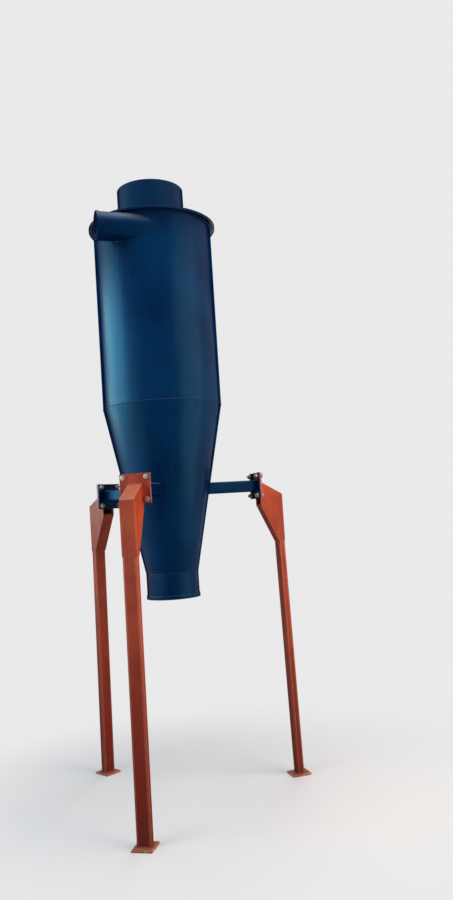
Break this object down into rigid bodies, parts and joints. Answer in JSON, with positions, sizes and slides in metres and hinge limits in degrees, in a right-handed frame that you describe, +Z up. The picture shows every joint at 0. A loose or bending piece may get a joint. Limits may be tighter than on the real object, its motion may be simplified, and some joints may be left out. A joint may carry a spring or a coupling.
{
  "type": "cyclone separator",
  "caption": "Welded sheet-metal cyclone separator with a tangential round gas inlet, a clean gas collar on its roof, a dust outlet below and bolted box-tube legs.",
  "frame": {"origin": "on the floor, in the middle of the footprint's bounding rectangle", "axes": "+Z up; the gas inlet's mouth faces -X on the -Y side; the first leg stands on +X from the body's axis, which is upright at x = -0.173 m, y = 0"},
  "size_m": [1.2292, 1.4192, 3.63],
  "materials": {
    "body_paint": "semi-gloss",
    "leg_paint": "satin, scuffed",
    "bolt_steel": "zinc plated"
  },
  "bodies": {
    "root": {"barrel": "body_paint", "cone": "body_paint", "dust_outlet": "body_paint", "dust_outlet_hoop": "body_paint", "rim_flange": "body_paint", "roof_plate": "body_paint", "clean_gas_collar": "body_paint", "vortex_finder": "body_paint", "inlet_pipe": "body_paint", "inlet_hoop": "body_paint", "bracket_arm_1": "body_paint", "bracket_arm_2": "body_paint", "bracket_arm_3": "body_paint", "arm_plate_1": "body_paint", "arm_plate_2": "body_paint", "arm_plate_3": "body_paint", "joint_bolts_1": "bolt_steel", "joint_bolts_2": "bolt_steel", "joint_bolts_3": "bolt_steel", "leg_plate_1": "leg_paint", "leg_plate_2": "leg_paint", "leg_plate_3": "leg_paint", "leg_head_1": "leg_paint", "leg_head_2": "leg_paint", "leg_head_3": "leg_paint", "leg_post_1": "leg_paint", "leg_post_2": "leg_paint", "leg_post_3": "leg_paint", "foot_plate_1": "leg_paint", "foot_plate_2": "leg_paint", "foot_plate_3": "leg_paint"}
  },
  "joints": []
}
